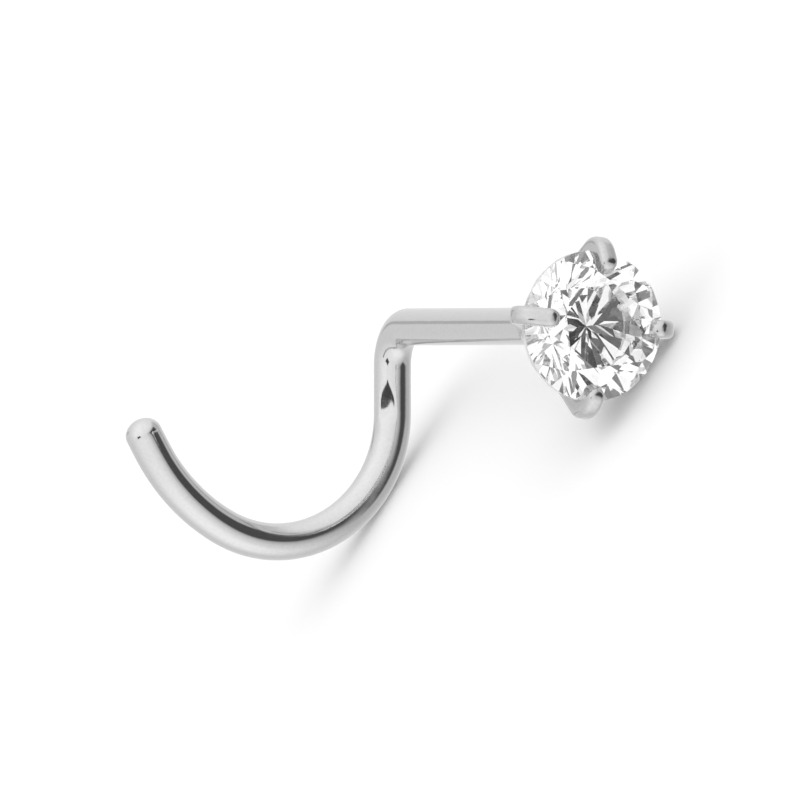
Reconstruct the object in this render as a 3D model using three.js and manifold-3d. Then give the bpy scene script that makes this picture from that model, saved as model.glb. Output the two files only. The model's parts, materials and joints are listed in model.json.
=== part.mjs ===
// A nose screw: a round wire post bent into a half-round hook, and a four-claw head that holds one
// clear round brilliant. The claws, their foot and the wire are soldered, so they are one solid.
//
// Everything is shaped in a bench frame: +Z runs out of the post through the stone's table, the
// girdle's centre is the origin, and the hook hangs towards -Y and curls round to -X. The finished
// stud is then laid on the floor (+Z up) on the side where it settles by itself.
import * as THREE from "three";
import { ConvexHull } from "three/addons/math/ConvexHull.js";
import { mergeVertices } from "three/addons/utils/BufferGeometryUtils.js";
import Module from "manifold-3d";

// Wire (mm): 22 gauge, bent over small round pliers, then round a mandrel that opens out.
const WIRE_RADIUS = 0.3;
const HOOK_BEHIND_GIRDLE = 7.36;
const BEND_RADIUS = 0.62;
const LEAD_LENGTH = 0.79;
const HOOK_RADIUS = 2.045;
const HOOK_SWEEP = THREE.MathUtils.degToRad(118.5);
const TAIL_RADIUS = 3.18;
const TAIL_SWEEP = THREE.MathUtils.degToRad(38.5);
const TIP_DOME = 0.18;
const WIRE_SIDES = 18;
const WIRE_STEPS = 112;

// Stone (mm): round brilliant, proportions as shares of its radius.
const STONE_RADIUS = 1.2;
const GIRDLE_THICKNESS = 0.12;
const TABLE_SHARE = 0.577;
const STAR_SHARE = 0.5;
const LOWER_HALF_SHARE = 0.84;
const CROWN_ANGLE = THREE.MathUtils.degToRad(38.5);
const PAVILION_ANGLE = THREE.MathUtils.degToRad(41.2);
const STONE_TURN = THREE.MathUtils.degToRad(29.6);
const GIRDLE_SIDES = 64;
const SEAT_GAP = 0.04;

// Claws (mm): flat bars with rounded edges that lean out from the foot and fold over the crown.
// Hand bending leaves each at its own angle (degrees) and shoulder radius.
const CLAWS = [
  { angle: -2.6, shoulder: 1.215 },
  { angle: 86.2, shoulder: 1.245 },
  { angle: 172.5, shoulder: 1.27 },
  { angle: 263.3, shoulder: 1.31 },
];
const CLAW_WIDTH = 0.33;
const CLAW_THICKNESS = 0.3;
const CLAW_EDGE = 0.1;
const CLAW_LEAN = THREE.MathUtils.degToRad(31);
const CLAW_SHOULDER_HEIGHT = 0.08;
const CLAW_FOLD_RADIUS = 0.3;
const CLAW_ROOT_RADIUS = 0.2;
const CLAW_TIP_PITCH = THREE.MathUtils.degToRad(34.5);
const CLAW_TIP_LENGTH = 0.29;
const CLAW_TIP_ROUND = 0.14;
const CLAW_STEPS = 28;
const SHORTEST_EDGE = 0.004;

// Foot (mm): the small cone of solder where the claws meet the post.
const FOOT_RADIUS = 0.46;
const FOOT_TOP = -1.42;
const FOOT_BELLY = -1.6;
const FOOT_BOTTOM = -2.1;

// Weight (g/cm3) and the side that the stud lies on, as a direction in the bench frame.
const METAL_DENSITY = 7.9;
const STONE_DENSITY = 5.7;
const LIES_ON = new THREE.Vector3(0.75, -0.65, 0);

const X = new THREE.Vector3(1, 0, 0);
const Y = new THREE.Vector3(0, 1, 0);
const Z = new THREE.Vector3(0, 0, 1);

const wasm = await Module();
wasm.setup();

// A circular arc that leaves its start along a heading and turns round an axis.
class Arc extends THREE.Curve {
  constructor(start, heading, axis, radius, sweep) {
    super();
    this.axis = axis;
    this.sweep = sweep;
    this.centre = axis.clone().cross(heading).multiplyScalar(radius).add(start);
    this.spoke = start.clone().sub(this.centre);
    this.exit = heading.clone().applyAxisAngle(axis, sweep);
  }

  getPoint(t, target = new THREE.Vector3()) {
    return target.copy(this.spoke).applyAxisAngle(this.axis, this.sweep * t).add(this.centre);
  }
}

// A closed three.js geometry as a solid that can be joined and cut.
function solid(geometry) {
  const bare = geometry.clone();
  bare.deleteAttribute("normal");
  bare.deleteAttribute("uv");
  const merged = mergeVertices(bare);
  const corners = merged.index.array;
  const kept = [];
  for (let i = 0; i < corners.length; i += 3) {
    const [a, b, c] = corners.subarray(i, i + 3);
    if (a !== b && b !== c && c !== a) kept.push(a, b, c);
  }
  const vertProperties = new Float32Array(merged.attributes.position.array);
  const triVerts = new Uint32Array(kept);
  return new wasm.Manifold(new wasm.Mesh({ numProp: 3, vertProperties, triVerts }));
}

function meshOf(name, body, material) {
  const { vertProperties, triVerts } = body.getMesh();
  const geometry = new THREE.BufferGeometry();
  geometry.setAttribute("position", new THREE.BufferAttribute(vertProperties, 3));
  geometry.setIndex(new THREE.BufferAttribute(triVerts, 1));
  const flat = geometry.toNonIndexed();
  flat.computeVertexNormals();
  const mesh = new THREE.Mesh(flat, material);
  mesh.name = name;
  return mesh;
}

// A point at a distance from the stone's axis, at an angle round it and a height along it.
function polar(radius, angle, height) {
  return new THREE.Vector3(radius * Math.cos(angle), radius * Math.sin(angle), height);
}

// The facet planes of a round brilliant, each through three of its corners, facing outwards.
function facetPlanes() {
  const step = Math.PI / 8;
  const rim = GIRDLE_THICKNESS / 2;
  const tableRadius = TABLE_SHARE * STONE_RADIUS;
  const crown = (d) => rim + (STONE_RADIUS - d) * Math.tan(CROWN_ANGLE);
  const pavilion = (d) => -rim - (STONE_RADIUS - d) * Math.tan(PAVILION_ANGLE);
  const tableEdge = tableRadius * Math.cos(step);
  const starRadius = tableEdge + STAR_SHARE * (STONE_RADIUS - tableEdge);
  const starHeight = crown(starRadius * Math.cos(step));
  const halfRadius = (1 - LOWER_HALF_SHARE) * STONE_RADIUS;
  const halfHeight = pavilion(halfRadius * Math.cos(step));
  const tableHeight = crown(tableRadius);

  const table = new THREE.Plane(Z.clone(), -tableHeight);
  const planes = [table];
  const facet = (a, b, c) => {
    const plane = new THREE.Plane().setFromCoplanarPoints(a, b, c);
    if (plane.constant > 0) plane.negate();
    planes.push(plane);
  };
  for (let i = 0; i < 16; i += 2) {
    const main = i * step;
    const star = main + step;
    const tangent = polar(1, main + Math.PI / 2, 0);
    const onRim = polar(STONE_RADIUS, main, rim);
    const underRim = polar(STONE_RADIUS, main, -rim);
    facet(onRim, polar(tableRadius, main, tableHeight), onRim.clone().add(tangent));
    facet(underRim, polar(0, 0, pavilion(0)), underRim.clone().add(tangent));
    const starTip = polar(starRadius, star, starHeight);
    facet(polar(tableRadius, main, tableHeight), polar(tableRadius, main + 2 * step, tableHeight), starTip);
    for (const side of [main, main + 2 * step]) {
      facet(polar(STONE_RADIUS, side, rim), polar(STONE_RADIUS, star, rim), starTip);
      const halfTip = polar(halfRadius, star, halfHeight);
      facet(polar(STONE_RADIUS, side, -rim), polar(STONE_RADIUS, star, -rim), halfTip);
    }
  }
  return planes;
}

// The stone is ground from a short cylinder, one plane at a time. Grown by the gap all round, the
// same cut makes the seat in the claws.
function cutStone(gap) {
  const rough = new THREE.CylinderGeometry(STONE_RADIUS + gap, STONE_RADIUS + gap, 4, GIRDLE_SIDES);
  rough.rotateX(Math.PI / 2);
  let stone = solid(rough);
  for (const { normal, constant } of facetPlanes()) {
    const { x, y, z } = normal;
    stone = stone.trimByPlane([-x, -y, -z], constant - gap);
  }
  return stone.rotate([0, 0, THREE.MathUtils.radToDeg(STONE_TURN)]).simplify(SHORTEST_EDGE / 4);
}

// Post, sharp bend, short lead, hook and wider tail in one wire, with a domed end.
function wire() {
  const path = new THREE.CurvePath();
  const bendTop = new THREE.Vector3(0, 0, BEND_RADIUS - HOOK_BEHIND_GIRDLE);
  path.add(new THREE.LineCurve3(new THREE.Vector3(0, 0, FOOT_BELLY), bendTop));
  const bend = new Arc(bendTop, Z.clone().negate(), X.clone().negate(), BEND_RADIUS, Math.PI / 2);
  path.add(bend);
  const leadStart = bend.getPoint(1);
  const leadEnd = bend.exit.clone().multiplyScalar(LEAD_LENGTH).add(leadStart);
  path.add(new THREE.LineCurve3(leadStart, leadEnd));
  const hook = new Arc(leadEnd, bend.exit, Z.clone().negate(), HOOK_RADIUS, HOOK_SWEEP);
  path.add(hook);
  const tail = new Arc(hook.getPoint(1), hook.exit, Z.clone().negate(), TAIL_RADIUS, TAIL_SWEEP);
  path.add(tail);

  const section = new THREE.Shape().absarc(0, 0, WIRE_RADIUS, 0, 2 * Math.PI);
  const rod = new THREE.ExtrudeGeometry(section, {
    extrudePath: path,
    steps: WIRE_STEPS,
    curveSegments: WIRE_SIDES / 2,
  });
  const dome = new THREE.SphereGeometry(0.97 * WIRE_RADIUS, WIRE_SIDES, WIRE_SIDES / 2);
  dome.scale(1, TIP_DOME / (0.97 * WIRE_RADIUS), 1);
  dome.applyQuaternion(new THREE.Quaternion().setFromUnitVectors(Y, tail.exit));
  dome.translate(...tail.getPoint(1));
  return solid(rod).add(solid(dome));
}

// One claw in the XZ plane: a straight leg, a fold at the shoulder and a short tip, its end filed
// round in two cuts from the top and from each side.
function claw(shoulder) {
  const outward = new THREE.Vector3(Math.sin(CLAW_LEAN), 0, Math.cos(CLAW_LEAN));
  const foldStart = new THREE.Vector3(
    shoulder - CLAW_FOLD_RADIUS * (1 - Math.cos(CLAW_LEAN)),
    0,
    CLAW_SHOULDER_HEIGHT - CLAW_FOLD_RADIUS * Math.sin(CLAW_LEAN),
  );
  const legLength = (foldStart.x - CLAW_ROOT_RADIUS) / outward.x;
  const root = foldStart.clone().addScaledVector(outward, -legLength);
  const foldSweep = CLAW_LEAN + Math.PI / 2 - CLAW_TIP_PITCH;
  const fold = new Arc(foldStart, outward, Y.clone().negate(), CLAW_FOLD_RADIUS, foldSweep);
  const tipStart = fold.getPoint(1);
  const tipEnd = fold.exit.clone().multiplyScalar(CLAW_TIP_LENGTH).add(tipStart);
  const path = new THREE.CurvePath();
  path.add(new THREE.LineCurve3(root, foldStart));
  path.add(fold);
  path.add(new THREE.LineCurve3(tipStart, tipEnd));

  const halfWidth = CLAW_WIDTH / 2 - CLAW_EDGE;
  const halfThickness = CLAW_THICKNESS / 2 - CLAW_EDGE;
  const section = new THREE.Shape();
  section.absarc(halfWidth, halfThickness, CLAW_EDGE, 0, Math.PI / 2);
  section.absarc(-halfWidth, halfThickness, CLAW_EDGE, Math.PI / 2, Math.PI);
  section.absarc(-halfWidth, -halfThickness, CLAW_EDGE, Math.PI, 1.5 * Math.PI);
  section.absarc(halfWidth, -halfThickness, CLAW_EDGE, 1.5 * Math.PI, 2 * Math.PI);
  const bar = new THREE.ExtrudeGeometry(section, {
    extrudePath: path,
    steps: CLAW_STEPS,
    curveSegments: 1,
  });

  let body = solid(bar);
  const top = Y.clone().cross(fold.exit);
  const sides = [top, Y, Y.clone().negate()];
  const reach = [CLAW_THICKNESS / 2, CLAW_WIDTH / 2, CLAW_WIDTH / 2];
  sides.forEach((side, i) => {
    const middle = tipEnd.clone().addScaledVector(fold.exit, -CLAW_TIP_ROUND);
    middle.addScaledVector(side, reach[i] - CLAW_TIP_ROUND);
    for (const tilt of [Math.PI / 6, Math.PI / 3]) {
      const normal = side.clone().multiplyScalar(Math.cos(tilt));
      normal.addScaledVector(fold.exit, Math.sin(tilt));
      const offset = normal.dot(middle) + CLAW_TIP_ROUND;
      body = body.trimByPlane(normal.clone().negate().toArray(), -offset);
    }
  });
  return body;
}

function foot() {
  const profile = [
    new THREE.Vector2(0, FOOT_BOTTOM),
    new THREE.Vector2(WIRE_RADIUS + 0.01, FOOT_BOTTOM),
    new THREE.Vector2(FOOT_RADIUS, FOOT_BELLY),
    new THREE.Vector2(0.8 * FOOT_RADIUS, FOOT_TOP),
    new THREE.Vector2(0, FOOT_TOP),
  ];
  return solid(new THREE.LatheGeometry(profile, WIRE_SIDES).rotateX(Math.PI / 2));
}

function postAndSetting() {
  let metal = wire().add(foot());
  for (const { angle, shoulder } of CLAWS) metal = metal.add(claw(shoulder).rotate([0, 0, angle]));
  return metal.subtract(cutStone(SEAT_GAP)).simplify(SHORTEST_EDGE);
}

// Volume and first moment of a closed mesh, summed over the tetrahedra to the origin.
function massOf(mesh, density) {
  const points = mesh.geometry.attributes.position;
  const [a, b, c] = [new THREE.Vector3(), new THREE.Vector3(), new THREE.Vector3()];
  const moment = new THREE.Vector3();
  let mass = 0;
  for (let i = 0; i < points.count; i += 3) {
    a.fromBufferAttribute(points, i);
    b.fromBufferAttribute(points, i + 1);
    c.fromBufferAttribute(points, i + 2);
    const weight = (density * a.dot(b.clone().cross(c))) / 6;
    mass += weight;
    moment.addScaledVector(a.add(b).add(c), weight / 4);
  }
  return { mass, moment };
}

// Lays the stud on the floor: on the face of its convex hull that holds its centre of mass and
// looks most nearly towards the wanted side, with the post's run along +X and the box centred.
function layDown(stud, densities) {
  const centre = new THREE.Vector3();
  const points = [];
  let mass = 0;
  stud.children.forEach((mesh, i) => {
    const share = massOf(mesh, densities[i]);
    mass += share.mass;
    centre.add(share.moment);
    const position = mesh.geometry.attributes.position;
    for (let k = 0; k < position.count; k += 1) {
      points.push(new THREE.Vector3().fromBufferAttribute(position, k));
    }
  });
  centre.divideScalar(mass);

  let floor = null;
  for (const face of new ConvexHull().setFromPoints(points).faces) {
    const [a, b, c] = [face.edge, face.edge.next, face.edge.prev].map((edge) => edge.head().point);
    const under = new THREE.Triangle(a, b, c);
    const below = centre.clone().addScaledVector(face.normal, -face.distanceToPoint(centre));
    const stable = under.containsPoint(below);
    if (stable && (!floor || face.normal.dot(LIES_ON) > floor.dot(LIES_ON))) floor = face.normal;
  }
  const down = new THREE.Quaternion().setFromUnitVectors(floor, Z.clone().negate());
  const run = Z.clone().applyQuaternion(down);
  const square = new THREE.Quaternion().setFromAxisAngle(Z, -Math.atan2(run.y, run.x));
  stud.quaternion.copy(square.multiply(down));

  const box = new THREE.Box3().setFromObject(stud, true);
  const middle = box.getCenter(new THREE.Vector3());
  stud.position.set(-middle.x, -middle.y, -box.min.z);
}

const metal = new THREE.MeshStandardMaterial({ color: 0xcfcfcf, roughness: 0.16, metalness: 1 });
const clear = new THREE.MeshStandardMaterial({ color: 0xf3f4f5, roughness: 0.02, metalness: 0 });
const stud = new THREE.Group();
stud.add(meshOf("post_and_setting", postAndSetting(), metal));
stud.add(meshOf("stone", cutStone(0), clear));
layDown(stud, [METAL_DENSITY, STONE_DENSITY]);

const noseStud = new THREE.Group();
noseStud.add(stud);
export default noseStud;
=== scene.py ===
"""A nose stud lying on white card: a bent steel wire, a four-claw setting and a clear brilliant."""

import json
import math

import bmesh
import bpy
from mathutils import Matrix, Vector


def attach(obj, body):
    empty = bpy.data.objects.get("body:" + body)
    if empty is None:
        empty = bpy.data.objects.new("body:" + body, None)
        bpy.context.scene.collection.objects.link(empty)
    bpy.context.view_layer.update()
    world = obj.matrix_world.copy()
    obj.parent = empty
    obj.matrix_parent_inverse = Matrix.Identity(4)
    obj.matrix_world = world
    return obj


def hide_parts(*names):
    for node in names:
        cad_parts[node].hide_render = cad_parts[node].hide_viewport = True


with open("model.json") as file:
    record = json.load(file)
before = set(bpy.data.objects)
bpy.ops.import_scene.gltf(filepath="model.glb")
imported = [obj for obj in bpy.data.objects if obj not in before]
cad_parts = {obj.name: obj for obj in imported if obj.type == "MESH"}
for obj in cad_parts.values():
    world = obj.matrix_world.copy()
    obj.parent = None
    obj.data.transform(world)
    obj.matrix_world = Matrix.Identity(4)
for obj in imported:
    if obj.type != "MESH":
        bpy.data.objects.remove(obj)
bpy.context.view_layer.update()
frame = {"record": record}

# Post and hook
# One length of 0.6 mm stainless steel wire. Its front end is soldered into the setting, the rest
# is bent square over pliers and rolled round a mandrel into a hook, and its cut end is domed.

# All metal is shaped in millimetres on a bench: the origin is the middle of the stone's girdle,
# the stone faces +Z and the hook hangs towards -Y.
WIRE_RADIUS, WIRE_SIDES = 0.3, 96
POST_ROOT = -1.7
HOOK_PLANE = -7.36
BEND_RADIUS = 0.62
LEAD_LENGTH = 0.79
HOOK_RADIUS, HOOK_SWEEP = 2.045, math.radians(118.5)
TAIL_RADIUS, TAIL_SWEEP, TAIL_END = 3.18, math.radians(31.9), 0.3
TIP_DOME = 0.25
POST_STEPS, BEND_STEPS, LEAD_STEPS = 60, 24, 40
HOOK_STEPS, TAIL_STEPS, TAIL_END_STEPS, DOME_STEPS = 72, 36, 8, 12
WELD = 0.0005
HAND_WAVER, WAVER_LENGTH = 0.004, 0.45

# The flat that the pliers left: its middle, the way it faces, how far it reaches, and the share
# of that reach in which it is pressed fully.
PLIER_MARK = Vector((-0.222, -1.23, -7.2))
PLIER_FACING = Vector((-0.658, -0.044, 0.752))
PLIER_REACH, PLIER_FULL = 0.4, 0.2


def arc(start, heading, axis, radius, sweep, steps):
    """Points round an arc that leaves start along heading, and the heading at its end."""
    centre = start + axis.cross(heading) * radius
    turns = [Matrix.Rotation(sweep * (i + 1) / steps, 3, axis) for i in range(steps)]
    return [centre + turn @ (start - centre) for turn in turns], turns[-1] @ heading


def stretch(start, end, steps):
    """Evenly spaced points after start, up to end."""
    return [start.lerp(end, (i + 1) / steps) for i in range(steps)]


def line_object(name, lines):
    """Lines through points, each point with its share of the section that is swept along them."""
    curve = bpy.data.curves.new(name, "CURVE")
    curve.dimensions = "3D"
    for points, shares in lines:
        spline = curve.splines.new("POLY")
        spline.points.add(len(points) - 1)
        for knot, point, share in zip(spline.points, points, shares):
            knot.co = (*point, 1)
            knot.radius = share
    made = bpy.data.objects.new(name, curve)
    bpy.context.scene.collection.objects.link(made)
    return made


def new_tree(name, sockets):
    """An empty geometry tree and the node that holds its named inputs."""
    tree = bpy.data.node_groups.new(name, "GeometryNodeTree")
    tree.interface.new_socket("Geometry", in_out="OUTPUT", socket_type="NodeSocketGeometry")
    for socket, kind in {"Geometry": "Geometry", **sockets}.items():
        tree.interface.new_socket(socket, in_out="INPUT", socket_type="NodeSocket" + kind)
    return tree, tree.nodes.new("NodeGroupInput").outputs


def output(node):
    """The output of a node that is in use."""
    return next(socket for socket in node.outputs if socket.enabled)


def add(tree, kind, inputs=None, **settings):
    """Adds a node with its settings. An input is a value, a socket or a node's output in use."""
    made = tree.nodes.new(kind)
    for name, value in settings.items():
        setattr(made, name, value)
    for name, value in (inputs or {}).items():
        if isinstance(value, bpy.types.Node):
            value = output(value)
        if isinstance(value, bpy.types.NodeSocket):
            tree.links.new(value, made.inputs[name])
        else:
            made.inputs[name].default_value = value
    return made


def plain_mesh(made):
    """The mesh of an object with its modifiers."""
    bpy.context.view_layer.update()
    shown = made.evaluated_get(bpy.context.evaluated_depsgraph_get())
    return bpy.data.meshes.new_from_object(shown)


def grown(made, tree, values):
    """The mesh that a geometry tree makes of an object, which is then removed."""
    modifier = made.modifiers.new(tree.name, "NODES")
    modifier.node_group = tree
    for item in tree.interface.items_tree:
        if item.in_out == "INPUT" and item.name in values:
            modifier[item.identifier] = values[item.name]
    mesh = plain_mesh(made)
    bpy.data.objects.remove(made)
    return mesh


root = Vector((0, 0, POST_ROOT))
square = Vector((0, 0, HOOK_PLANE + BEND_RADIUS))
back, sideways = Vector((0, 0, -1)), Vector((-1, 0, 0))
post = [root, *stretch(root, square, POST_STEPS)]
bend, heading = arc(square, back, sideways, BEND_RADIUS, math.pi / 2, BEND_STEPS)
lead = stretch(bend[-1], bend[-1] + heading * LEAD_LENGTH, LEAD_STEPS)
hook, heading = arc(lead[-1], heading, back, HOOK_RADIUS, HOOK_SWEEP, HOOK_STEPS)
tail, heading = arc(hook[-1], heading, back, TAIL_RADIUS, TAIL_SWEEP, TAIL_STEPS)
tail += stretch(tail[-1], tail[-1] + heading * TAIL_END, TAIL_END_STEPS)
rod = [*post, *bend, *lead, *hook, *tail]
rounds = [math.pi / 2 * (i + 1) / DOME_STEPS for i in range(DOME_STEPS)]
dome = [tail[-1] + heading * TIP_DOME * math.sin(angle) for angle in rounds]
shares = [1.0] * len(rod) + [math.cos(angle) for angle in rounds]
wire_line = line_object("wire_line", [(rod + dome, shares)])

# The tree sweeps a round along the line, keeps how far along and round each point lies, presses
# the flat that the pliers left below the bend, and lets the surface waver as under hand tools.
tree, given = new_tree("draw_wire", {
    "Radius": "Float", "Sides": "Int", "Weld": "Float", "Flat At": "Vector",
    "Flat Facing": "Vector", "Flat Reach": "Float", "Flat Full": "Float", "Waver": "Float",
    "Waver Length": "Float", "Metal": "Material"})
round_section = add(tree, "GeometryNodeCurvePrimitiveCircle", {
    "Resolution": given["Sides"], "Radius": given["Radius"]})
place = add(tree, "GeometryNodeSplineParameter")
along = add(tree, "GeometryNodeStoreNamedAttribute", {
    "Geometry": given["Geometry"], "Name": "drawn_along", "Value": place.outputs["Length"]},
    domain="POINT", data_type="FLOAT")
about = add(tree, "GeometryNodeStoreNamedAttribute", {
    "Geometry": round_section, "Name": "drawn_round", "Value": place.outputs["Length"]},
    domain="POINT", data_type="FLOAT")
share = add(tree, "GeometryNodeInputRadius")
swept = add(tree, "GeometryNodeCurveToMesh", {
    "Curve": along, "Profile Curve": about, "Scale": share, "Fill Caps": True})
closed = add(tree, "GeometryNodeMergeByDistance", {"Geometry": swept, "Distance": given["Weld"]})
position = add(tree, "GeometryNodeInputPosition")
away = add(tree, "ShaderNodeVectorMath", {
    0: position, 1: given["Flat At"]}, operation="SUBTRACT")
over = add(tree, "ShaderNodeVectorMath", {
    0: away, 1: given["Flat Facing"]}, operation="DOT_PRODUCT")
under = add(tree, "ShaderNodeMath", {0: over, 1: 0.0}, operation="MINIMUM")
proud = add(tree, "ShaderNodeMath", {0: under, 1: over}, operation="SUBTRACT")
apart = add(tree, "ShaderNodeVectorMath", {0: away}, operation="LENGTH")
reached = add(tree, "ShaderNodeMath", {0: apart, 1: given["Flat Reach"]}, operation="DIVIDE")
near = add(tree, "ShaderNodeMapRange", {
    "Value": reached, "From Min": 1.0, "From Max": given["Flat Full"]},
    interpolation_type="SMOOTHSTEP")
press = add(tree, "ShaderNodeMath", {0: proud, 1: near}, operation="MULTIPLY")
pressed = add(tree, "ShaderNodeVectorMath", {
    0: given["Flat Facing"], "Scale": press}, operation="SCALE")
flat = add(tree, "GeometryNodeSetPosition", {"Geometry": closed, "Offset": pressed})
fineness = add(tree, "ShaderNodeMath", {0: 1.0, 1: given["Waver Length"]}, operation="DIVIDE")
waver = add(tree, "ShaderNodeTexNoise", {"Scale": fineness, "Detail": 2.0})
centred = add(tree, "ShaderNodeVectorMath", {
    0: waver.outputs["Color"], 1: (0.5, 0.5, 0.5)}, operation="SUBTRACT")
drift = add(tree, "ShaderNodeVectorMath", {
    0: centred, "Scale": given["Waver"]}, operation="SCALE")
wavered = add(tree, "GeometryNodeSetPosition", {"Geometry": flat, "Offset": drift})
real = add(tree, "GeometryNodeRealizeInstances", {"Geometry": wavered})
coated = add(tree, "GeometryNodeSetMaterial", {"Geometry": real, "Material": given["Metal"]})
add(tree, "NodeGroupOutput", {"Geometry": coated})

steel = bpy.data.materials.new("stainless_steel_polished")
wire_mesh = grown(wire_line, tree, {
    "Radius": WIRE_RADIUS, "Sides": WIRE_SIDES, "Weld": WELD, "Flat At": PLIER_MARK,
    "Flat Facing": PLIER_FACING, "Flat Reach": PLIER_REACH, "Flat Full": PLIER_FULL,
    "Waver": HAND_WAVER, "Waver Length": WAVER_LENGTH, "Metal": steel})

# Setting
# Four steel claws that fan out from a small foot, fold over the stone's girdle and end rounded on
# its crown. They are soldered to the foot and the foot to the post, so post and setting are one
# piece. Bent by hand, each claw stands at its own angle and reach.
CLAWS = (
    # angle round the stone in degrees, reach from its axis, length past the fold
    (-2.6, 1.19, 0.22),
    (86.2, 1.245, 0.3),
    (172.5, 1.27, 0.38),
    (262.8, 1.31, 0.24),
)
CLAW_WIDTH, CLAW_THICKNESS = 0.36, 0.3
CLAW_EDGE, CLAW_EDGE_STEPS = 0.1, 6
CLAW_LEAN, CLAW_PITCH = math.radians(31), math.radians(34.5)
CLAW_FOLD_RADIUS, CLAW_FOLD_STEPS = 0.3, 14
CLAW_SHOULDER_HEIGHT = 0.07
CLAW_ROOT_RADIUS = 0.2
CLAW_TIP_ROUND, CLAW_TIP_TAPER = 0.16, 0.75
FOOT_HEIGHTS = (-2.12, -2.06, -1.85, -1.66, -1.56, -1.46, -1.42)
FOOT_RADII = (0.302, 0.33, 0.4, 0.455, 0.45, 0.38, 0.2)
FOOT_SIDES = 64
SOLDER_GRAIN = 0.016
TUMBLING_EASE, TUMBLING_PASSES = 0.5, 12
SHARP_ANGLE = math.radians(35)


def claw_line(angle, reach, length):
    """The middle line of a claw, from its root up the leg and over the fold to its rounded end."""
    leg_up = Vector((math.sin(CLAW_LEAN), 0, math.cos(CLAW_LEAN)))
    leg_end = Vector((reach - CLAW_FOLD_RADIUS * (1 - leg_up.z), 0,
                      CLAW_SHOULDER_HEIGHT - CLAW_FOLD_RADIUS * leg_up.x))
    leg_root = leg_end - leg_up * (leg_end.x - CLAW_ROOT_RADIUS) / leg_up.x
    fold, inward = arc(leg_end, leg_up, Vector((0, -1, 0)), CLAW_FOLD_RADIUS,
                       CLAW_LEAN + math.pi / 2 - CLAW_PITCH, CLAW_FOLD_STEPS)
    flat_end = fold[-1] + inward * (length - CLAW_TIP_ROUND)
    bar = [leg_root, leg_end, *fold, flat_end]
    tip = [flat_end + inward * CLAW_TIP_ROUND * math.sin(turn) for turn in rounds]
    shares = [1.0] * len(bar) + [math.cos(turn) ** CLAW_TIP_TAPER for turn in rounds]
    facing = Matrix.Rotation(math.radians(angle), 3, "Z")
    return [facing @ point for point in bar + tip], shares


def mesh_object(name, mesh):
    """An object in the scene that shows a mesh."""
    made = bpy.data.objects.new(name, mesh)
    bpy.context.scene.collection.objects.link(made)
    return made


claw_lines = line_object("claw_lines", [claw_line(*claw) for claw in CLAWS])
foot_points = [Vector((0, 0, height)) for height in FOOT_HEIGHTS]
foot_line = line_object("foot_line", [(foot_points, FOOT_RADII)])

# The tree sweeps an eased bar along the claws' lines and a round up the line of the foot.
tree, given = new_tree("set_claws", {
    "Foot Line": "Object", "Foot Sides": "Int", "Width": "Float", "Thickness": "Float",
    "Edge": "Float", "Edge Steps": "Int", "Metal": "Material"})
section = add(tree, "GeometryNodeCurvePrimitiveQuadrilateral", {
    "Width": given["Thickness"], "Height": given["Width"]})
eased = add(tree, "GeometryNodeFilletCurve", {
    "Curve": section, "Radius": given["Edge"], "Count": given["Edge Steps"]}, mode="POLY")
share = add(tree, "GeometryNodeInputRadius")
claws = add(tree, "GeometryNodeCurveToMesh", {
    "Curve": given["Geometry"], "Profile Curve": eased, "Scale": share, "Fill Caps": True})
line = add(tree, "GeometryNodeObjectInfo", {"Object": given["Foot Line"]})
circle = add(tree, "GeometryNodeCurvePrimitiveCircle", {
    "Resolution": given["Foot Sides"], "Radius": 1})
foot = add(tree, "GeometryNodeCurveToMesh", {
    "Curve": line.outputs["Geometry"], "Profile Curve": circle, "Scale": share,
    "Fill Caps": True})
both = add(tree, "GeometryNodeJoinGeometry", {"Geometry": claws})
tree.links.new(output(foot), both.inputs["Geometry"])
real = add(tree, "GeometryNodeRealizeInstances", {"Geometry": both})
coated = add(tree, "GeometryNodeSetMaterial", {"Geometry": real, "Material": given["Metal"]})
add(tree, "NodeGroupOutput", {"Geometry": coated})

# The claws' steel: tumbled and softer, with darker tones below that are painted shade.
tumbled_steel_painted_shade = bpy.data.materials.new("stainless_steel_tumbled_painted_shade")
setting = mesh_object("setting", grown(claw_lines, tree, {
    "Foot Line": foot_line, "Foot Sides": FOOT_SIDES, "Width": CLAW_WIDTH,
    "Thickness": CLAW_THICKNESS, "Edge": CLAW_EDGE, "Edge Steps": CLAW_EDGE_STEPS,
    "Metal": tumbled_steel_painted_shade}))
bpy.data.objects.remove(foot_line)

# Solder runs the claws and foot together, and tumbling eases every edge.
solder = setting.modifiers.new("solder", "REMESH")
solder.mode, solder.voxel_size = "VOXEL", SOLDER_GRAIN
tumbling = setting.modifiers.new("tumbling", "SMOOTH")
tumbling.factor, tumbling.iterations = TUMBLING_EASE, TUMBLING_PASSES
setting.data = plain_mesh(setting)
setting.modifiers.clear()

# Wire and setting list both finishes, so once joined each face keeps its own.
for mesh in (wire_mesh, setting.data):
    mesh.materials.clear()
    mesh.materials.append(steel)
    mesh.materials.append(tumbled_steel_painted_shade)
setting.data.polygons.foreach_set("material_index", [1] * len(setting.data.polygons))

# The bearing in each claw is cut to the stone's own shape, so the cut is set here: a round
# brilliant, with its table, star and lower half facets given as shares.
STONE_RADIUS = 1.2
GIRDLE_THICKNESS = 0.12
TABLE_SHARE, STAR_SHARE, LOWER_HALF_SHARE = 0.577, 0.5, 0.84
CROWN_ANGLE, PAVILION_ANGLE = math.radians(38.5), math.radians(41.2)
STONE_TURN = math.radians(29.6)
BEARING_GAP = 0.012
BLANK_SIDES, BLANK_HEIGHT = 96, 4
CUT_MARGIN, CORNER_MARGIN = 2e-5, 5e-5
RIM = GIRDLE_THICKNESS / 2


def polar(radius, angle, height):
    """A point at a radius and angle round the stone's axis."""
    return Vector((radius * math.cos(angle), radius * math.sin(angle), height))


def crown(radius):
    """The height of the crown's main facets at a radius."""
    return RIM + (STONE_RADIUS - radius) * math.tan(CROWN_ANGLE)


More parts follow.
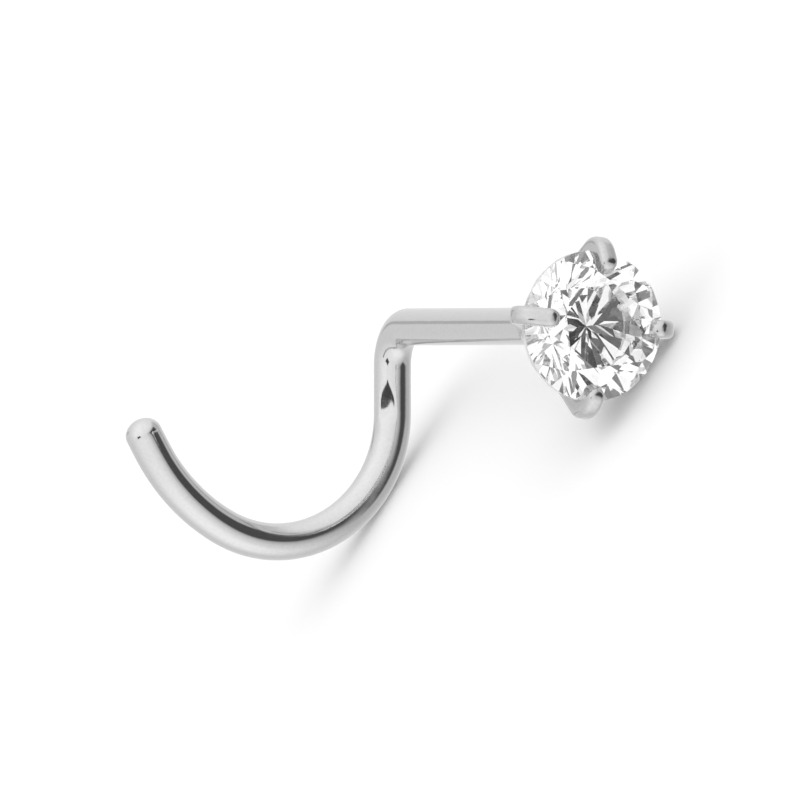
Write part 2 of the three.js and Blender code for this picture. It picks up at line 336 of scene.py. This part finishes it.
def pavilion(radius):
    """The height of the pavilion's main facets at a radius."""
    return -RIM - (STONE_RADIUS - radius) * math.tan(PAVILION_ANGLE)


def facets():
    """A point on each facet of the brilliant, and the way the facet faces."""
    step = math.pi / 8
    table = TABLE_SHARE * STONE_RADIUS
    edge = table * math.cos(step)
    star = edge + STAR_SHARE * (STONE_RADIUS - edge)
    half = (1 - LOWER_HALF_SHARE) * STONE_RADIUS
    culet = Vector((0, 0, pavilion(0)))
    corners = []
    for i in range(8):
        main, between, after = ((2 * i + k) * step + STONE_TURN for k in range(3))
        above, below = polar(STONE_RADIUS, main, RIM), polar(STONE_RADIUS, main, -RIM)
        tangent = polar(1, main + math.pi / 2, 0)
        corner, next_corner = (polar(table, side, crown(table)) for side in (main, after))
        star_tip = polar(star, between, crown(star * math.cos(step)))
        half_tip = polar(half, between, pavilion(half * math.cos(step)))
        corners.append((above, above + tangent, corner))
        corners.append((below, below + tangent, culet))
        corners.append((corner, next_corner, star_tip))
        for side in (main, after):
            for rim, tip in ((RIM, star_tip), (-RIM, half_tip)):
                ends = polar(STONE_RADIUS, side, rim), polar(STONE_RADIUS, between, rim)
                corners.append((*ends, tip))
    ground = [(Vector((0, 0, crown(table))), Vector((0, 0, 1)))]
    for first, second, third in corners:
        normal = (second - first).cross(third - first).normalized()
        ground.append((first, normal if normal.dot(first) > 0 else -normal))
    return ground


def brilliant(gap):
    """A brilliant, grown all round by a gap: a round blank ground flat, facet after facet."""
    blank = bmesh.new()
    radius = STONE_RADIUS + gap
    bmesh.ops.create_cone(blank, cap_ends=True, segments=BLANK_SIDES, radius1=radius,
                          radius2=radius, depth=BLANK_HEIGHT)
    for point, normal in facets():
        whole = [*blank.verts, *blank.edges, *blank.faces]
        cut = bmesh.ops.bisect_plane(blank, geom=whole, dist=CUT_MARGIN, clear_outer=True,
                                     plane_co=point + normal * gap, plane_no=normal)
        edges = [part for part in cut["geom_cut"] if isinstance(part, bmesh.types.BMEdge)]
        loose = [edge for edge in edges if edge.is_boundary]
        if loose:
            bmesh.ops.edgeloop_fill(blank, edges=loose)
    bmesh.ops.remove_doubles(blank, verts=blank.verts, dist=CORNER_MARGIN)
    bmesh.ops.recalc_face_normals(blank, faces=blank.faces)
    return blank


def mesh_from(name, shape):
    """The mesh of a worked shape, which is then freed."""
    mesh = bpy.data.meshes.new(name)
    shape.to_mesh(mesh)
    shape.free()
    return mesh


bearing = mesh_object("bearing", mesh_from("bearing", brilliant(BEARING_GAP)))
metal = mesh_object("post_and_setting_steel", wire_mesh)
for other, operation in ((setting, "UNION"), (bearing, "DIFFERENCE")):
    joint = metal.modifiers.new(other.name, "BOOLEAN")
    joint.object, joint.operation, joint.solver = other, operation, "EXACT"
    metal.data = plain_mesh(metal)
    metal.modifiers.clear()
    bpy.data.objects.remove(other)
metal.data.shade_smooth()
metal.data.set_sharp_from_angle(angle=SHARP_ANGLE)

# Put down, the stud rolls until a claw, the girdle and the side of the hook touch the card. The
# part's mount says where the stone's table ends up, and the roll is how far the hook swings over.
ROLL = math.radians(-54.736)
MM = 0.001
mount = next(mount for mount in frame["record"]["mounts"] if mount["name"] == "stone_table")
ahead = Vector(mount["axis"]).normalized()
level = Vector((0, 0, 1)).cross(ahead).normalized()
across = level * math.cos(ROLL) + ahead.cross(level) * math.sin(ROLL)
upright = ahead.cross(across)
girdle = Vector(mount["pos_m"]) - ahead * crown(TABLE_SHARE * STONE_RADIUS) * MM
turned = Matrix((across, upright, ahead)).transposed().to_4x4()
laid_down = Matrix.Translation(girdle) @ turned @ Matrix.Scale(MM, 4)
metal.data.transform(laid_down)


def linear(colour):
    """A colour written as sRGB hex, in the linear values that shaders take."""
    parts = [int(colour[i:i + 2], 16) / 255 for i in (1, 3, 5)]
    return (*[p / 12.92 if p <= 0.04045 else ((p + 0.055) / 1.055) ** 2.4 for p in parts], 1)


# Drawn wire is polished to a grey mirror, and hairlines along it break up the edges of what it
# mirrors. The claws are only tumbled, which leaves them mottled and softer; their darker tone is
# painted shade, the same steel made darker to stand in for the shade their curves show.
TUMBLE_SIZE = 0.05
HAIRLINE_LENGTH, HAIRLINE_WIDTH = 2.0, 0.03
RELIEF_LOW, RELIEF_HIGH = 0.6, 1.4
RELIEF_STRENGTH, RELIEF_DEPTH = 0.12, 0.002
FINISHES = (
    # material, light and dark tone, least and most roughness
    (steel, "#d4d4d4", "#c7c7c7", 0.05, 0.13),
    # Painted shade: the same steel in darker tones, standing in for the shade on the claws' curves.
    (tumbled_steel_painted_shade, "#cccccc", "#b9b9b9", 0.08, 0.18),
)
for finish, light, dark, smooth, rough in FINISHES:
    finish.use_nodes = True
    tree = finish.node_tree
    shader = tree.nodes["Principled BSDF"]
    shader.inputs["Metallic"].default_value = 1
    spot = add(tree, "ShaderNodeTexCoord")
    mottle = add(tree, "ShaderNodeTexNoise", {
        "Vector": spot.outputs["Object"], "Scale": 1 / (TUMBLE_SIZE * MM), "Detail": 3})
    tint = add(tree, "ShaderNodeMix", {
        "Factor": mottle, "A": linear(dark), "B": linear(light)}, data_type="RGBA")
    along = add(tree, "ShaderNodeAttribute", attribute_name="drawn_along")
    about = add(tree, "ShaderNodeAttribute", attribute_name="drawn_round")
    drawn = add(tree, "ShaderNodeCombineXYZ", {
        "X": along.outputs["Fac"], "Y": about.outputs["Fac"]})
    combed = add(tree, "ShaderNodeVectorMath", {
        0: drawn, 1: (1 / HAIRLINE_LENGTH, 1 / HAIRLINE_WIDTH, 1)}, operation="MULTIPLY")
    hairlines = add(tree, "ShaderNodeTexNoise", {"Vector": combed, "Scale": 1, "Detail": 2})
    relief = add(tree, "ShaderNodeMath", {0: mottle, 1: hairlines}, operation="ADD")
    gloss = add(tree, "ShaderNodeMapRange", {
        "Value": relief, "From Min": RELIEF_LOW, "From Max": RELIEF_HIGH,
        "To Min": smooth, "To Max": rough})
    bump = add(tree, "ShaderNodeBump", {
        "Strength": RELIEF_STRENGTH, "Distance": RELIEF_DEPTH * MM, "Height": relief})
    for name, node in (("Base Color", tint), ("Roughness", gloss), ("Normal", bump)):
        tree.links.new(output(node), shader.inputs[name])

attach(metal, "root")
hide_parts("post_and_setting")

# Stone
# A 2.4 mm round brilliant of clear cubic zirconia, its 57 facets ground and polished on a wheel
# and its thin girdle left frosted. It rests in the bearings and the claw tips press it down.
UPRIGHT_FACE = 0.01
cut_stone = brilliant(0)
for face in cut_stone.faces:
    face.material_index = 1 if abs(face.normal.z) < UPRIGHT_FACE else 0
stone = mesh_object("stone_brilliant", mesh_from("stone_brilliant", cut_stone))
stone.data.transform(laid_down)

# Polished zirconia bends light hard, so the facets flash white and black; faint wipe marks dull
# it here and there. The girdle scatters light and shows as a white line.
WIPE_SIZE, GIRDLE_GRAIN = 0.4, 0.02
WIPE_LOW, WIPE_HIGH = 0.55, 0.75
ZIRCONIA_IOR = 2.16
SURFACES = (
    # material, least and most roughness, size of its marks
    ("cubic_zirconia_polished", 0.0, 0.012, WIPE_SIZE),
    ("cubic_zirconia_ground", 0.3, 0.5, GIRDLE_GRAIN),
)
for name, smooth, rough, size in SURFACES:
    zirconia = bpy.data.materials.new(name)
    zirconia.use_nodes = True
    tree = zirconia.node_tree
    shader = tree.nodes["Principled BSDF"]
    shader.inputs["Base Color"].default_value = linear("#fdfdfd")
    shader.inputs["Transmission Weight"].default_value = 1
    shader.inputs["IOR"].default_value = ZIRCONIA_IOR
    spot = add(tree, "ShaderNodeTexCoord")
    wipes = add(tree, "ShaderNodeTexNoise", {
        "Vector": spot.outputs["Object"], "Scale": 1 / (size * MM), "Detail": 2})
    dulled = add(tree, "ShaderNodeMapRange", {
        "Value": wipes, "From Min": WIPE_LOW, "From Max": WIPE_HIGH,
        "To Min": smooth, "To Max": rough})
    tree.links.new(output(dulled), shader.inputs["Roughness"])
    stone.data.materials.append(zirconia)

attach(stone, "root")
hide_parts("stone")

# Table top
# A round sheet of matt white card that the stud lies on. It takes the soft shadow, and is left
# out of what the metal mirrors and the stone shows: they show the whole tent, also from below.
CARD_RADIUS, CARD_SIDES = 0.08, 128
sheet = bmesh.new()
bmesh.ops.create_circle(sheet, cap_ends=True, segments=CARD_SIDES, radius=CARD_RADIUS)
card = mesh_object("card", mesh_from("card", sheet))
card.visible_glossy = card.visible_transmission = False

# Matt card: near white, with the faint cloudiness and tooth of paper.
CLOUD_SIZE, TOOTH_SIZE = 6.0, 0.12
TOOTH_STRENGTH, TOOTH_DEPTH = 0.05, 0.01
paper = bpy.data.materials.new("white_card_matt")
paper.use_nodes = True
tree = paper.node_tree
shader = tree.nodes["Principled BSDF"]
shader.inputs["Roughness"].default_value = 0.85
shader.inputs["Specular IOR Level"].default_value = 0.1
spot = add(tree, "ShaderNodeTexCoord")
cloud = add(tree, "ShaderNodeTexNoise", {
    "Vector": spot.outputs["Object"], "Scale": 1 / (CLOUD_SIZE * MM), "Detail": 2})
tint = add(tree, "ShaderNodeMix", {
    "Factor": cloud, "A": linear("#f5f5f5"), "B": linear("#f9f9f9")}, data_type="RGBA")
tooth = add(tree, "ShaderNodeTexNoise", {
    "Vector": spot.outputs["Object"], "Scale": 1 / (TOOTH_SIZE * MM), "Detail": 2})
bump = add(tree, "ShaderNodeBump", {
    "Strength": TOOTH_STRENGTH, "Distance": TOOTH_DEPTH * MM, "Height": tooth})
tree.links.new(output(tint), shader.inputs["Base Color"])
tree.links.new(output(bump), shader.inputs["Normal"])
card.data.materials.append(paper)

# Light and camera
# A white light tent, brightest overhead. Low in it the stud mirrors a bright sheet, grey cloth and
# a dark opening, and higher up a small dark thing and a grey strip. The other dark areas show only
# through the stone, where they make its dark facets.
NADIR, ZENITH = 0.75, 1.34
PANELS = (
    # compass direction and height of the middle, half width, half height, soft edge (degrees),
    # tone, and whether it shows only through the stone
    (205, -15, 10, 30, 90, 0.9, False),
    (-61, -28, 8, 5, 60, 1.35, False),
    (54, -34, 43, 32, 18, 0.68, False),
    (40, -25, 20, 18, 12, 0.1, False),
    (-52, 32, 11, 6, 3, 0.08, False),
    (184.5, 27, 2.5, 8, 4, 0.62, False),
    (6, -4, 16, 14, 3, 0.01, True),
    (-48, 0, 8, 8, 3, 0.01, True),
    (-14, 20, 6, 6, 3, 0.01, True),
    (-27, 38, 12, 9, 3, 0.01, True),
    (-79, -18, 12, 11, 3, 0.01, True),
    (105, 60, 26, 13, 4, 0.01, True),
)
BACKDROP = 0.98
BOUNCES = 24
world = bpy.data.worlds.new("light_tent")
bpy.context.scene.world = world
world.use_nodes = True
tree = world.node_tree
tree.nodes.clear()
ray = add(tree, "ShaderNodeTexCoord").outputs["Generated"]
height = add(tree, "ShaderNodeSeparateXYZ", {0: ray}).outputs["Z"]
rise = add(tree, "ShaderNodeMath", {0: height}, operation="ARCSINE")
flattened = add(tree, "ShaderNodeVectorMath", {0: ray, 1: (1, 1, 0)}, operation="MULTIPLY")
around = add(tree, "ShaderNodeVectorMath", {0: flattened}, operation="NORMALIZE")
path = add(tree, "ShaderNodeLightPath")
tone = add(tree, "ShaderNodeMapRange", {
    "Value": height, "From Min": -1, "From Max": 1, "To Min": NADIR, "To Max": ZENITH})


def within(tree, distance, reach, soft):
    """Full where a distance is under a reach, and fading to nothing over a soft edge past it."""
    return add(tree, "ShaderNodeMapRange", {
        "Value": distance, "From Min": reach + soft, "From Max": reach},
        interpolation_type="SMOOTHSTEP")


for *angles, shade, in_stone in PANELS:
    compass, middle, wide, tall, soft = map(math.radians, angles)
    side = add(tree, "ShaderNodeVectorMath", {
        0: around, 1: (math.cos(compass), math.sin(compass), 0)}, operation="DOT_PRODUCT")
    turn = add(tree, "ShaderNodeMath", {0: side}, operation="ARCCOSINE")
    offset = add(tree, "ShaderNodeMath", {0: rise, 1: middle}, operation="SUBTRACT")
    apart = add(tree, "ShaderNodeMath", {0: offset}, operation="ABSOLUTE")
    inside = add(tree, "ShaderNodeMath", {
        0: within(tree, turn, wide, soft), 1: within(tree, apart, tall, soft)},
        operation="MULTIPLY")
    if in_stone:
        inside = add(tree, "ShaderNodeMath", {
            0: inside, 1: path.outputs["Is Transmission Ray"]}, operation="MULTIPLY")
    tone = add(tree, "ShaderNodeMix", {"Factor": inside, "A": tone, "B": shade}, data_type="FLOAT")
shown = add(tree, "ShaderNodeMix", {
    "Factor": path.outputs["Is Camera Ray"], "A": tone, "B": BACKDROP}, data_type="FLOAT")
tent = add(tree, "ShaderNodeBackground", {"Color": (1, 1, 1, 1), "Strength": shown})
add(tree, "ShaderNodeOutputWorld", {"Surface": tent})
cycles = bpy.context.scene.cycles
cycles.max_bounces = cycles.transmission_bounces = cycles.glossy_bounces = BOUNCES

# The picture looks at the stone 25.5 degrees off its axis, from far off, with the bench's +Y up.
# Its middle lies this far from the girdle: to the right, upwards and towards the camera.
AIM_RIGHT, AIM_UP, AIM_TOWARD = -3.046, -1.176, -3.6
VIEW_ANGLE = math.radians(25.5)
PICTURE_WIDTH = 12.8 * MM
LENS, SENSOR = 1500, 36
right = across * math.cos(VIEW_ANGLE) + ahead * math.sin(VIEW_ANGLE)
toward = ahead * math.cos(VIEW_ANGLE) - across * math.sin(VIEW_ANGLE)
aim = girdle + (right * AIM_RIGHT + upright * AIM_UP + toward * AIM_TOWARD) * MM
stand = aim + toward * PICTURE_WIDTH * LENS / SENSOR
lens = bpy.data.cameras.new("camera")
lens.lens, lens.sensor_width = LENS, SENSOR
lens.clip_start, lens.clip_end = 0.01, 10
camera = bpy.data.objects.new("camera", lens)
bpy.context.scene.collection.objects.link(camera)
facing = Matrix((right, upright, toward)).transposed().to_4x4()
camera.matrix_world = Matrix.Translation(stand) @ facing
bpy.context.scene.camera = camera
bpy.context.scene.view_settings.view_transform = "Standard"
